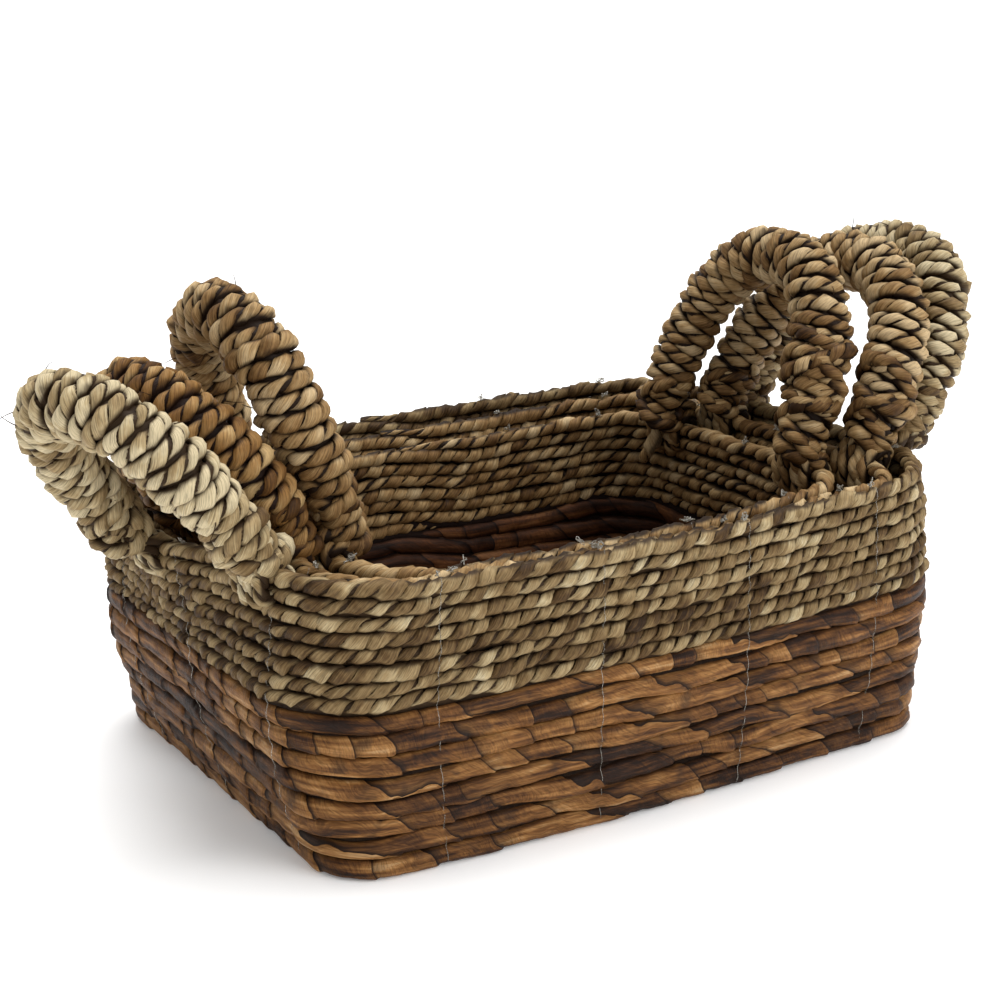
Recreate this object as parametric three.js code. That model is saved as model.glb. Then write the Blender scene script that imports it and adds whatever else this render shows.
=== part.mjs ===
// A nesting set of three rectangular bread baskets: rope coils sewn into walls, with a pair of
// wrapped arch handles on each. Units are millimetres, +Z is up, the origin is on the underside of the
// large basket's base, +X runs along the long sides.
import * as THREE from "three";

const GAP = 0.3; // clearance between pieces that touch
const SEAGRASS = { thick: 6.4, pitch: 6.7 }; // twisted seagrass rope: section across the wall, row height
const BASE_THICK = 9; // coiled banana-bark mat
const ROPE_EDGE = 1.5; // how far a rope's rounded top and bottom are drawn in from its sides
const CORNER_STEPS = 3; // facets in a quarter of a rounded corner
const FRONT_POINTS = [-0.35, 0.35]; // where the bowed front is broken, as shares of its half length
const SIDE_POINTS = [-0.45, 0, 0.45]; // where a flared short side is broken, as shares of its half length
const STEP_HALF = 20; // half the length over which a coil climbs from one row to the next
const TAPER_SHARE = 0.85; // how far along that length a coil's tapered end reaches

// The flare starts at a height and grows upwards, fades along the wall over a width, and fades in along X.
const FLARE = { fromZ: 55, riseOver: 75, power: 1.5, width: 55, fromX: 100, fadeOver: 50 };

// Handles. In degrees, "lean" is how far the arch leans outwards, "twist" turns its foot line about Z and
// "tilt" drops the far foot. "reach" runs from the foot line to the middle of the rope at the top.
const HANDLE = { footRadius: 8.5, radius: 13, taper: 52, coreShare: 0.62, square: 2.3, steps: 12 };
const SIDES = { wrap: 8, core: 6 }; // facets round the wrapping and the core
const ARCH_PROBE = 0.01; // a short stretch of the arch, from which its direction is taken
const LASHING = { clearance: 1.1, thick: 1.2, width: 14, drop: 26 };

// A thread stands off the widest row within its reach. It stops short of the base and of the rim.
const THREAD = { thick: 0.7, standOff: 1.1, rowReach: 4.5, levels: 5, bottom: 3, top: 1 };
const THREAD_BACK_X = 55;
const THREAD_FRONT_X = 5;
const THREAD_SIDE_Y = -6;

const BASKETS = [
  {
    name: "large", floor: 0, centre: [0, 0],
    banana: { thick: 9, pitch: 9.05, turns: 8 }, seagrassTurns: 8,
    half: [[155, 119], [170, 124], [162.5, 125]], radius: [27, 46, 47], bow: 5,
    flare: { left: { out: 14, dip: 9, at: 16 }, right: { out: 7, dip: 0, at: -12 } },
    handles: {
      left: { x: -176.5, y: -29, z: 128, lean: 37, twist: 16, tilt: -3.5, span: 87, reach: 78.5 },
      right: { x: 172.5, y: -14.4, z: 132.5, lean: 36.5, twist: 8, tilt: 0, span: 107, reach: 88.5 },
    },
  },
  {
    name: "medium", floor: BASE_THICK + GAP, centre: [0, -6],
    banana: { thick: 8.4, pitch: 8.6, turns: 7 }, seagrassTurns: 8,
    half: [[133, 101], [148, 107], [147, 110]], radius: [24, 36, 36], bow: 4,
    flare: null,
    handles: {
      left: { x: -147, y: -11, z: 128, lean: 32.5, twist: 9, tilt: 0, span: 88, reach: 69 },
      right: { x: 145.3, y: -23, z: 131, lean: 31, twist: 5.5, tilt: 0, span: 103, reach: 84 },
    },
  },
  {
    name: "small", floor: 2 * (BASE_THICK + GAP), centre: [0, -6],
    banana: { thick: 8.4, pitch: 9, turns: 6 }, seagrassTurns: 7,
    half: [[114, 84], [128, 90], [127, 92]], radius: [20, 34, 36], bow: 3,
    flare: null,
    handles: {
      left: { x: -120.5, y: -8.5, z: 125.5, lean: 16, twist: 3.3, tilt: 0, span: 88, reach: 91.5 },
      right: { x: 119.5, y: -6, z: 125.5, lean: 22, twist: 3, tilt: 0, span: 102.5, reach: 88 },
    },
  },
];

function material(color, roughness) {
  return new THREE.MeshStandardMaterial({ color, roughness, metalness: 0 });
}
const MATERIALS = {
  paleSeagrass: material(0xb9a47a, 0.75),
  brownSeagrass: material(0x8f7044, 0.75),
  bananaBark: material(0x7a4f2a, 0.7),
  handleCore: material(0xa58a58, 0.85),
  nylon: material(0xe6e6e0, 0.2),
};

const smooth = (t) => {
  const s = Math.min(1, Math.max(0, t));
  return s * s * (3 - 2 * s);
};
const radians = THREE.MathUtils.degToRad;

// A closed solid from rings of vertices: each ring has the same number of points, neighbours are joined by
// quads, and the first and last rings are capped by a fan.
function ringSolid(rings) {
  const n = rings[0].length;
  const positions = rings.flat().flatMap((p) => [p.x, p.y, p.z]);
  const index = [];
  for (let i = 0; i + 1 < rings.length; i++) {
    for (let j = 0; j < n; j++) {
      const [a, b] = [i * n + j, i * n + ((j + 1) % n)];
      index.push(a, b, b + n, a, b + n, a + n);
    }
  }
  const last = (rings.length - 1) * n;
  for (let j = 1; j + 1 < n; j++) index.push(0, j + 1, j, last, last + j, last + j + 1);
  const geometry = new THREE.BufferGeometry();
  geometry.setAttribute("position", new THREE.Float32BufferAttribute(positions, 3));
  geometry.setIndex(index);
  return geometry;
}

// Where the lower rope ends and the upper one starts.
function beltHeight(basket) {
  return basket.floor + basket.banana.pitch * basket.banana.turns;
}

function rimHeight(basket) {
  return beltHeight(basket) + SEAGRASS.pitch * basket.seagrassTurns;
}

// Half length, half width and corner radius at a height, from those at the base, the belt and the rim.
function shapeAt(basket, z) {
  const belt = beltHeight(basket);
  const stations = [basket.floor, belt, rimHeight(basket)];
  const upper = z > belt ? 1 : 0;
  const along = (z - stations[upper]) / (stations[upper + 1] - stations[upper]);
  // The lower wall rounds outwards quickly from the base, the upper wall runs straight to the rim.
  const t = upper ? along : Math.sin((Math.PI / 2) * Math.min(1, Math.max(0, along)));
  const mix = (list) => list[upper] + (list[upper + 1] - list[upper]) * t;
  return {
    a: mix(basket.half.map((h) => h[0])),
    b: mix(basket.half.map((h) => h[1])),
    r: mix(basket.radius),
  };
}

// Plan outline of one row, as points with outward normals: a rounded rectangle whose long sides bow out.
// It starts and ends at the coil's step on the back, so the closing stretch is where a coil climbs one row.
function outline(basket, { a, b, r }, inset) {
  const points = [];
  const add = (x, y, nx, ny) => points.push({ x: x - nx * inset, y: y - ny * inset, nx, ny });
  const addLong = (x, side) => add(x, side * (b + basket.bow * (1 - (x / (a - r)) ** 2)), 0, side);
  const addShort = (side) => {
    if (!basket.flare) return;
    for (const share of SIDE_POINTS) add(side * a, side * share * (b - r), side, 0);
  };
  const addCorner = (cx, cy, from) => {
    for (let k = 0; k <= CORNER_STEPS; k++) {
      const t = from + (Math.PI / 2) * (k / CORNER_STEPS);
      add(cx + r * Math.cos(t), cy + r * Math.sin(t), Math.cos(t), Math.sin(t));
    }
  };
  addLong(-STEP_HALF, 1);
  addCorner(-(a - r), b - r, Math.PI / 2);
  addShort(-1);
  addCorner(-(a - r), -(b - r), Math.PI);
  for (const share of FRONT_POINTS) addLong(share * (a - r), -1);
  addCorner(a - r, -(b - r), -Math.PI / 2);
  addShort(1);
  addCorner(a - r, b - r, 0);
  addLong(STEP_HALF, 1);
  return points;
}

// Moves a wall point of the large basket: the handles pull the short walls outwards, and the left rim down.
function flared(basket, point) {
  const pull = basket.flare && (point.x < 0 ? basket.flare.left : basket.flare.right);
  if (!pull) return point;
  const rise = smooth((point.z - FLARE.fromZ) / FLARE.riseOver) ** FLARE.power;
  const near = Math.exp(-(((point.y - pull.at) / FLARE.width) ** 2));
  const side = smooth((Math.abs(point.x) - FLARE.fromX) / FLARE.fadeOver);
  const amount = rise * near * side;
  const out = Math.sign(point.x) * pull.out * amount;
  return new THREE.Vector3(point.x + out, point.y, point.z - pull.dip * amount);
}

// A rope laid round the wall in level rows, each climbing to the next over the step. Its two ends taper
// along the step, which leaves the lowest and the highest row level all the way round.
function coil(basket, firstZ, rope, turns) {
  const half = rope.thick / 2;
  const rings = [];
  const addRing = (p, low, high) => {
    const middle = (low + high) / 2;
    const at = (across, z) => {
      const [x, y] = [p.x + p.nx * across, p.y + p.ny * across];
      return flared(basket, new THREE.Vector3(x + basket.centre[0], y + basket.centre[1], z));
    };
    const edge = half - ROPE_EDGE;
    rings.push([
      at(half, middle), at(edge, low), at(-edge, low),
      at(-half, middle), at(-edge, high), at(edge, high),
    ]);
  };
  const between = (p, q, share) => {
    return { ...p, x: p.x + (q.x - p.x) * share, y: p.y + (q.y - p.y) * share };
  };
  for (let row = 0; row < turns; row++) {
    const low = firstZ + rope.pitch * row + GAP / 2;
    const high = low + rope.pitch - GAP;
    const points = outline(basket, shapeAt(basket, (low + high) / 2), half);
    const [start, end] = [points[0], points[points.length - 1]];
    const taper = rope.pitch * TAPER_SHARE;
    if (row === 0) addRing(between(start, end, TAPER_SHARE), low, high - taper);
    for (const p of points) addRing(p, low, high);
    if (row === turns - 1) addRing(between(end, start, TAPER_SHARE), low + taper, high);
  }
  return ringSolid(rings);
}

// The coiled mat that closes the bottom, inside the first row of the wall.
function baseMat(basket) {
  const z = basket.floor + basket.banana.pitch / 2;
  const edge = outline(basket, shapeAt(basket, z), basket.banana.thick + GAP);
  const shape = new THREE.Shape(edge.map((p) => new THREE.Vector2(p.x, p.y)));
  const slab = new THREE.ExtrudeGeometry(shape, { depth: BASE_THICK, bevelEnabled: false });
  return slab.translate(basket.centre[0], basket.centre[1], basket.floor);
}

// Points of a handle's centreline in its own plane: y across the feet, z from the hinge line up.
function archPoint(handle, t) {
  const angle = Math.PI * t;
  const power = (v) => Math.sign(v) * Math.abs(v) ** (2 / HANDLE.square);
  const across = (power(Math.cos(angle)) * handle.span) / 2;
  return new THREE.Vector2(across, power(Math.sin(angle)) * handle.reach);
}

// Radius of the wrapped handle at a height above the hinge line: the legs are bound tighter at their feet.
function legRadius(height) {
  return HANDLE.footRadius + (HANDLE.radius - HANDLE.footRadius) * smooth(height / HANDLE.taper);
}

// Rings of a tube round the arch. "share" scales its radius. Both feet are cut level with the rim, which
// slants them in the handle's own plane by "slope".
function archRings(handle, share, sides, slope) {
  const rings = [];
  for (let i = 0; i <= HANDLE.steps; i++) {
    const t = i / HANDLE.steps;
    const foot = i === 0 || i === HANDLE.steps;
    const centre = archPoint(handle, t);
    const next = archPoint(handle, Math.min(1, t + ARCH_PROBE));
    const along = next.sub(archPoint(handle, Math.max(0, t - ARCH_PROBE))).normalize();
    if (foot) along.set(0, i ? -1 : 1);
    const radius = legRadius(centre.y) * share;
    const ring = [];
    for (let j = 0; j < sides; j++) {
      const turn = (2 * Math.PI * j) / sides;
      const offset = Math.cos(turn) * radius;
      const x = -Math.sin(turn) * radius;
      const level = foot ? slope * x : 0;
      const [y, z] = [centre.x + along.y * offset, centre.y - along.x * offset + level];
      ring.push(new THREE.Vector3(x, y, z));
    }
    rings.push(ring);
  }
  return rings;
}

// The wrapping: a tube with the core's hole through it, open at both feet.
function wrapGeometry(handle, slope) {
  const outer = archRings(handle, 1, SIDES.wrap, slope);
  const inner = archRings(handle, HANDLE.coreShare, SIDES.wrap, slope);
  const n = SIDES.wrap;
  const positions = [...outer, ...inner].flat().flatMap((p) => [p.x, p.y, p.z]);
  const offset = outer.length * n;
  const index = [];
  for (let i = 0; i + 1 < outer.length; i++) {
    for (let j = 0; j < n; j++) {
      const [a, b] = [i * n + j, i * n + ((j + 1) % n)];
      index.push(a, b, b + n, a, b + n, a + n);
      const [c, d] = [offset + a, offset + b];
      index.push(c, d + n, d, c, c + n, d + n);
    }
  }
  const end = (outer.length - 1) * n;
  for (let j = 0; j < n; j++) {
    const k = (j + 1) % n;
    index.push(j, offset + k, k, j, offset + j, offset + k);
    index.push(end + j, end + k, offset + end + k, end + j, offset + end + k, offset + end + j);
  }
  const geometry = new THREE.BufferGeometry();
  geometry.setAttribute("position", new THREE.Float32BufferAttribute(positions, 3));
  geometry.setIndex(index);
  return geometry;
}

// The stiff bundle inside the wrapping. It stops short of the wrapping's inner face by the gap.
function coreGeometry(handle, slope) {
  // The wrapping is faceted, so its inner face comes closer than its corners do.
  const flats = Math.cos(Math.PI / SIDES.wrap);
  const share = HANDLE.coreShare * flats - GAP / HANDLE.footRadius;
  return ringSolid(archRings(handle, share, SIDES.core, slope));
}

// A group in a handle's own plane: it leans within a stand that sits on the foot line.
function addLeaningGroup(basketGroup, handle, side) {
  const stand = new THREE.Group();
  stand.rotation.set(radians(handle.tilt), 0, radians(handle.twist));
  stand.position.set(handle.x, handle.y, handle.z);
  const leaning = new THREE.Group();
  leaning.rotation.set(0, radians(side * handle.lean), 0);
  stand.add(leaning);
  basketGroup.add(stand);
  return leaning;
}

// A cord binding over the rim under one foot: an upturned U that stands just off both faces of the wall.
function lashing(basket, handle, side, foot) {
  const y = handle.y + ((foot * handle.span) / 2) * Math.cos(radians(handle.twist));
  const rim = rimHeight(basket);
  const bottom = rim - LASHING.drop;
  const middle = rim - LASHING.drop / 2;
  const outer = (z, extra) => shapeAt(basket, z).a + LASHING.clearance + extra;
  const inner = (z, extra) => shapeAt(basket, z).a - SEAGRASS.thick - LASHING.clearance - extra;
  const roof = rim + LASHING.clearance;
  const { thick } = LASHING;
  const profile = [
    [outer(bottom, 0), bottom], [outer(bottom, thick), bottom], [outer(middle, thick), middle],
    [outer(rim, thick), roof + thick], [inner(rim, thick), roof + thick], [inner(middle, thick), middle],
    [inner(bottom, thick), bottom], [inner(bottom, 0), bottom], [inner(middle, 0), middle],
    [inner(rim, 0), roof], [outer(rim, 0), roof], [outer(middle, 0), middle],
  ];
  const rings = [-1, 1].map((end) =>
    profile.map(([px, pz]) => {
      const point = new THREE.Vector3(side * px + basket.centre[0], y + (end * LASHING.width) / 2, pz);
      return flared(basket, point);
    }),
  );
  return cappedProfile(rings, side);
}

// Joins two copies of a profile that isn't convex, capping both ends with a triangulated face.
function cappedProfile([near, far], side) {
  const n = near.length;
  const flat = near.map((p) => new THREE.Vector2(side * p.x, p.z));
  const faces = THREE.ShapeUtils.triangulateShape(flat, []);
  const clockwise = THREE.ShapeUtils.isClockWise(flat);
  const index = [];
  const add = (a, b, c) => (clockwise === side > 0 ? index.push(a, c, b) : index.push(a, b, c));
  for (const [a, b, c] of faces) {
    const turned = THREE.ShapeUtils.isClockWise([flat[a], flat[b], flat[c]]) === clockwise;
    const [p, q] = turned ? [b, c] : [c, b];
    add(a, p, q);
    add(a + n, q + n, p + n);
  }
  for (let j = 0; j < n; j++) {
    const k = (j + 1) % n;
    add(j, j + n, k + n);
    add(j, k + n, k);
  }
  const geometry = new THREE.BufferGeometry();
  const positions = [...near, ...far].flatMap((p) => [p.x, p.y, p.z]);
  geometry.setAttribute("position", new THREE.Float32BufferAttribute(positions, 3));
  geometry.setIndex(index);
  return geometry;
}

// Where the sewing thread runs down the outside of a wall. Each place gives a point on an outline and the
// outward direction there: the middle of each corner's arc, and one point on each side.
function threadStations(basket) {
  const stations = [];
  for (let k = 0; k < 4; k++) {
    const angle = Math.PI * (0.25 + 0.5 * k);
    const [nx, ny] = [Math.cos(angle), Math.sin(angle)];
    const place = ({ a, b, r }) => {
      return { x: Math.sign(nx) * (a - r) + nx * r, y: Math.sign(ny) * (b - r) + ny * r, nx, ny };
    };
    stations.push({ name: "corner_" + (k + 1), place });
  }
  for (const [name, x, side] of [["back", THREAD_BACK_X, 1], ["front", THREAD_FRONT_X, -1]]) {
    const place = ({ a, b, r }) => {
      return { x, y: side * (b + basket.bow * (1 - (x / (a - r)) ** 2)), nx: 0, ny: side };
    };
    stations.push({ name, place });
  }
  for (const [name, side] of [["left", -1], ["right", 1]]) {
    stations.push({ name, place: ({ a }) => ({ x: side * a, y: THREAD_SIDE_Y, nx: side, ny: 0 }) });
  }
  return stations;
}

// One line of clear nylon thread, standing just off the rows it ties together.
function threadLine(basket, station) {
  const rim = rimHeight(basket);
  const height = rim - basket.floor - THREAD.bottom - THREAD.top;
  const rings = [];
  for (let i = 0; i <= THREAD.levels; i++) {
    const z = basket.floor + THREAD.bottom + (height * i) / THREAD.levels;
    const shapes = [-THREAD.rowReach, 0, THREAD.rowReach].map((step) => {
      return shapeAt(basket, Math.max(basket.floor, z + step));
    });
    const widest = shapes.reduce((most, shape) => (shape.a > most.a ? shape : most));
    const { x, y, nx, ny } = station.place(widest);
    const at = (off, along) => {
      const [px, py] = [x + nx * off - ny * along, y + ny * off + nx * along];
      return flared(basket, new THREE.Vector3(px + basket.centre[0], py + basket.centre[1], z));
    };
    const [half, near, far] = [THREAD.thick / 2, THREAD.standOff, THREAD.standOff + THREAD.thick];
    rings.push([at(near, half), at(near, -half), at(far, -half), at(far, half)]);
  }
  return ringSolid(rings);
}

function addMesh(parent, name, geometry, look) {
  const mesh = new THREE.Mesh(geometry, look);
  mesh.name = name;
  parent.add(mesh);
}

function buildBasket(basket) {
  const group = new THREE.Group();
  const seagrass = basket.name === "large" ? MATERIALS.paleSeagrass : MATERIALS.brownSeagrass;
  const lower = coil(basket, basket.floor, basket.banana, basket.banana.turns);
  const upper = coil(basket, beltHeight(basket), SEAGRASS, basket.seagrassTurns);
  addMesh(group, basket.name + "_base_mat", baseMat(basket), MATERIALS.bananaBark);
  addMesh(group, basket.name + "_banana_coil", lower, MATERIALS.bananaBark);
  addMesh(group, basket.name + "_seagrass_coil", upper, seagrass);
  for (const [sideName, side] of [["left", -1], ["right", 1]]) {
    const handle = basket.handles[sideName];
    const slope = side * Math.tan(radians(handle.lean));
    const prefix = basket.name + "_" + sideName + "_handle_";
    const leaning = addLeaningGroup(group, handle, side);
    addMesh(leaning, prefix + "core", coreGeometry(handle, slope), MATERIALS.handleCore);
    addMesh(leaning, prefix + "wrap", wrapGeometry(handle, slope), seagrass);
    for (const [footName, foot] of [["front", -1], ["back", 1]]) {
      const binding = lashing(basket, handle, side, foot);
      addMesh(group, `${basket.name}_${sideName}_${footName}_lashing`, binding, seagrass);
    }
  }
  for (const station of threadStations(basket)) {
    addMesh(group, `${basket.name}_thread_${station.name}`, threadLine(basket, station), MATERIALS.nylon);
  }
  return group;
}

const set = new THREE.Group();
for (const basket of BASKETS) set.add(buildBasket(basket));

export default set;
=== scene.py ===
"""The looks of a nesting set of three bread baskets. The tables are in millimetres and degrees, and every
point becomes metres as its mesh is made. Walls are ropes laid row on row, and handles are wound cords."""
import math

import bpy
import numpy as np
from mathutils import Matrix, Vector


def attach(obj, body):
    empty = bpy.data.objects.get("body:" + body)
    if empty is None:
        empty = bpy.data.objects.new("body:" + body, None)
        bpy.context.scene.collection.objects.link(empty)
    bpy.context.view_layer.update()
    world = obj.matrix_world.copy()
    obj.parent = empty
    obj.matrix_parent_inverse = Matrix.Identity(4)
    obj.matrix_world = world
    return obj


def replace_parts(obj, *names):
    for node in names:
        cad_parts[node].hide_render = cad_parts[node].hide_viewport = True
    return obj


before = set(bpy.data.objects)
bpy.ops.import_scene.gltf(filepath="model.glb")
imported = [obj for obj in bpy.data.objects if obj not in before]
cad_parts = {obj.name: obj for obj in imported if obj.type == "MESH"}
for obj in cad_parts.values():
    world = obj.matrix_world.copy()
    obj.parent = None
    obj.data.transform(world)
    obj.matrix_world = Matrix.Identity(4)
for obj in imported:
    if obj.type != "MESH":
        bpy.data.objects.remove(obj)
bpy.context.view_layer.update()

MM = 0.001
SEED = 20

# ---------------------------------------------------------------------------------- driving dimensions
SEAGRASS = {"thick": 6.4, "pitch": 6.7}
FLARE = {"from_z": 55, "rise": 75, "power": 1.5, "width": 55, "from_x": 100, "fade": 50}
SAG = {"drop": 3.0, "from_z": 60, "rise": 65}
STEP_HALF = 20
TAPER_SHARE = 0.85
ARCH_SQUARE = 2.3
# A handle's radius at its feet and higher up, the height it grows over, and the turns below its feet.
LEG = {"foot": 11.8, "top": 14.2, "taper": 40, "below": 7}

BASKETS = {
    "large": {
        "floor": 0, "centre": (0, 0), "banana": {"thick": 9, "pitch": 9.05, "turns": 8}, "turns": 8,
        "half": ((155, 119), (170, 124), (162.5, 125)), "radius": (27, 46, 47), "bow": 5,
        "flare": {-1: (14, 9, 16), 1: (7, 0, -12)},
    },
    "medium": {
        "floor": 9.3, "centre": (0, -6), "banana": {"thick": 8.4, "pitch": 8.6, "turns": 7}, "turns": 8,
        "half": ((133, 101), (148, 107), (147, 110)), "radius": (24, 36, 36), "bow": 4,
        "flare": None,
    },
    "small": {
        "floor": 18.6, "centre": (0, -6), "banana": {"thick": 8.4, "pitch": 9, "turns": 6}, "turns": 7,
        "half": ((114, 84), (128, 90), (127, 92)), "radius": (20, 34, 36), "bow": 3,
        "flare": None,
    },
}
# Foot line's middle (x, y, z), outward lean, twist, tilt, span between feet, reach of the arch.
HANDLES = {
    ("large", -1): ((-176.5, -29, 128), 37, 16, -3.5, 87, 78.5),
    ("large", 1): ((172.5, -14.4, 132.5), 36.5, 8, 0, 107, 88.5),
    ("medium", -1): ((-147, -11, 128), 32.5, 9, 0, 88, 69),
    ("medium", 1): ((145.3, -23, 131), 31, 5.5, 0, 103, 84),
    ("small", -1): ((-120.5, -8.5, 125.5), 16, 3.3, 0, 88, 91.5),
    ("small", 1): ((119.5, -6, 125.5), 22, 3, 0, 102.5, 88),
}
SIDE_NAMES = {-1: "left", 1: "right"}
# Each handle's material, its tone and the pitch of its winding.
HANDLE_LOOKS = {
    ("large", -1): ("pale", 0.94, 6.9),
    ("large", 1): ("pale", 0.82, 7.9),
    ("medium", -1): ("orange", 0.66, 7.0),
    ("medium", 1): ("tan", 0.83, 8.0),
    ("small", -1): ("tan", 0.64, 7.1),
    ("small", 1): ("tan", 0.74, 7.9),
}
# Each wall's materials, its tone, and how much darker its inner face is.
WALL_LOOKS = {
    "large": {"grass": "pale", "bark": "bark", "slot": "seagrass_pale", "tone": 0.54, "inside": 0.16},
    "medium": {"grass": "tan", "bark": "inner_bark", "slot": "seagrass_brown", "tone": 0.64, "inside": 0.03},
    "small": {"grass": "tan", "bark": "inner_bark", "slot": "seagrass_brown", "tone": 0.64, "inside": 0.03},
}

# Two-ply ropes: how far each ply's centre stands off the rope's axis, and a ply's depth and width.
WALL_ROPE = {"spread": 1.9, "depth": 1.65, "width": 2.5, "lay": 16.5, "step": 1.4, "sides": 8, "plump": 0.3,
             "shadow": 0.74, "leaf_tone": 0.3}
CORD = {"spread": 2.05, "depth": 1.95, "width": 2.6, "lay": 17, "step": 1.25, "sides": 8, "plump": 0.25,
        "shadow": 0.6, "leaf_tone": 0.34}
CORD_HALF = 3.55
# Where two handles pass, each keeps half the room, less a gap and what a swing of 2 degrees takes up.
PRESS = {"cord": 5.0, "gap": 0.8, "swing": math.tan(math.radians(2))}
WIND_SLANT = 0.2
BARK = {"step": 1.4, "sides": 16, "square": 2.6, "lift": 0.2}
# How far hand-laid ropes stray outwards and upwards, how much their size varies, and over what lengths.
GRASS_LAY = {"out": 0.85, "out_every": 13, "up": 0.75, "up_every": 12, "size": 0.1, "size_every": 24}
BARK_LAY = {"out": 0.7, "out_every": 34, "up": 1.25, "up_every": 30, "size": 0.16, "size_every": 30}
# Dark strips of painted shade behind the rows: drop below the rope (grass only), half thickness and half
# height.
GRASS_SHADOW_STRIP = {"drop": 1.6, "half_out": 1.1, "half_up": 3.3}
BARK_SHADOW_STRIP = {"half_out": 1.5, "half_up": 3.0}
MAT = {"pitch": 8.8, "height": 8.9, "middle": 4.6, "step": 2.4, "step_half": 10, "size": 0.98}
# The cord loops under each foot: skew along the wall, place along it, height over the rim, drop below.
BINDINGS = ((9, 0, 8.5, 10), (-9, 1, 9.5, 10), (0, -9.5, 3.0, 12), (1.5, -3.5, 3.6, 14), (-1, 3, 3.6, 13),
            (0, 9.5, 3.0, 11))
LOOSE_END = ((117, 37, 127), (115, 40, 121), (113, 45, 111), (111, 49, 103), (109, 51, 98))
STITCHES = 14
THREAD_RADIUS = 0.12
KNOT_RADIUS = 0.2
# Within this distance of a foot the thread stops this far below the rim.
HIDDEN_STITCH = {"near": 16, "below_rim": 15}
# How far a loose fibre's tip stays from the next handle's centreline.
FIBRE_CLEAR = 21
# Bulky crossing turns low on some legs: distance up from the foot and how far they stand proud.
BULGES = {
    ("small", 1, -1): ((4, 2.0), (16, 1.6), (26, 3.2), (33, 3.8), (40, 3.0), (52, 1.5)),
    ("medium", 1, -1): ((4, 2.4), (11, 3.4), (18, 3.6), (25, 2.2)),
    ("large", 1, -1): ((2, 1.6), (10, 1.8), (-3, 0.6)),
    ("small", -1, -1): ((3, 0.8), (10, 1.2), (18, 1.4)),
    ("small", -1, 1): ((3, 0.6), (10, 1.0)),
}
PLAIN_BULGE = ((3, 2.0), (10, 1.8))
CROSSING = {"half": 3, "pitch": 5.2, "slants": (0.75, 0.6, 0.45), "darker": 0.08}
LOOP = {"points": 90, "square": 0.45, "clear": 2.4, "size": 0.88}
FIBRES = {"count": 7, "points": 7, "margin": 25}

# Lamps: where from, strength, and angular size in degrees.
SUNS = {"overhead": ((0.15, 0.2, 1.0), 3.3, 50), "front": ((0.4, -0.85, 0.62), 1.35, 40)}
WORLD_LIGHT = 0.46
FLOOR_GLOW = 0.14
FLOOR_REACH = 40

CAMERA = {"yaw": -31.14, "pitch": 16.17, "roll": -1.1, "distance": 0.9436, "lens": 72.04}
CAMERA_AIM = Vector((0, 0, 0.07))
CAMERA_OFFSET = (-0.0068, 0.0362)


# ---------------------------------------------------------------------------------- small maths
def smooth(t):
    t = np.clip(t, 0, 1)
    return t * t * (3 - 2 * t)


def unit(v):
    return v / np.maximum(np.linalg.norm(v, axis=-1, keepdims=True), 1e-9)


def dot(a, b):
    return (a * b).sum(-1, keepdims=True)


def rounded(v, power):
    """A signed power, which squares off a sine or cosine when the power is below 1."""
    return np.sign(v) * np.abs(v) ** power


def lengths(path):
    """Distance along a path at each of its points."""
    return np.concatenate([[0], np.cumsum(np.linalg.norm(np.diff(path, axis=0), axis=1))])


def directions(path, closed=False):
    if closed:
        return unit(np.roll(path, -1, 0) - np.roll(path, 1, 0))
    return unit(np.gradient(path, axis=0))


def wander(at, spacing, rng):
    """Smooth random values from -1 to 1 along a line."""
    knots = rng.uniform(-1, 1, int(at.max() / spacing) + 3)
    place = at / spacing
    left = np.floor(place).astype(int)
    share = smooth(place - left)
    return knots[left] * (1 - share) + knots[left + 1] * share


def resample(columns, step):
    """Points at even steps along a path, whose first three columns are x, y and z."""
    at = lengths(columns[:, :3])
    count = max(3, int(round(at[-1] / step)) + 1)
    even = np.linspace(0, at[-1], count)
    return np.stack([np.interp(even, at, c) for c in columns.T], 1)


# ---------------------------------------------------------------------------------- basket shape
def belt_height(basket):
    return basket["floor"] + basket["banana"]["pitch"] * basket["banana"]["turns"]


def rim_height(basket):
    return belt_height(basket) + SEAGRASS["pitch"] * basket["turns"]


def shape_at(basket, z):
    """Half length, half width and corner radius of the wall's outer face at a height."""
    stations = [basket["floor"], belt_height(basket), rim_height(basket)]
    upper = 1 if z > stations[1] else 0
    along = min(1, max(0, (z - stations[upper]) / (stations[upper + 1] - stations[upper])))
    t = along if upper else math.sin(math.pi / 2 * along)

    def mix(low, high):
        return low + (high - low) * t

    a = mix(basket["half"][upper][0], basket["half"][upper + 1][0])
    b = mix(basket["half"][upper][1], basket["half"][upper + 1][1])
    return a, b, mix(basket["radius"][upper], basket["radius"][upper + 1])


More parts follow.
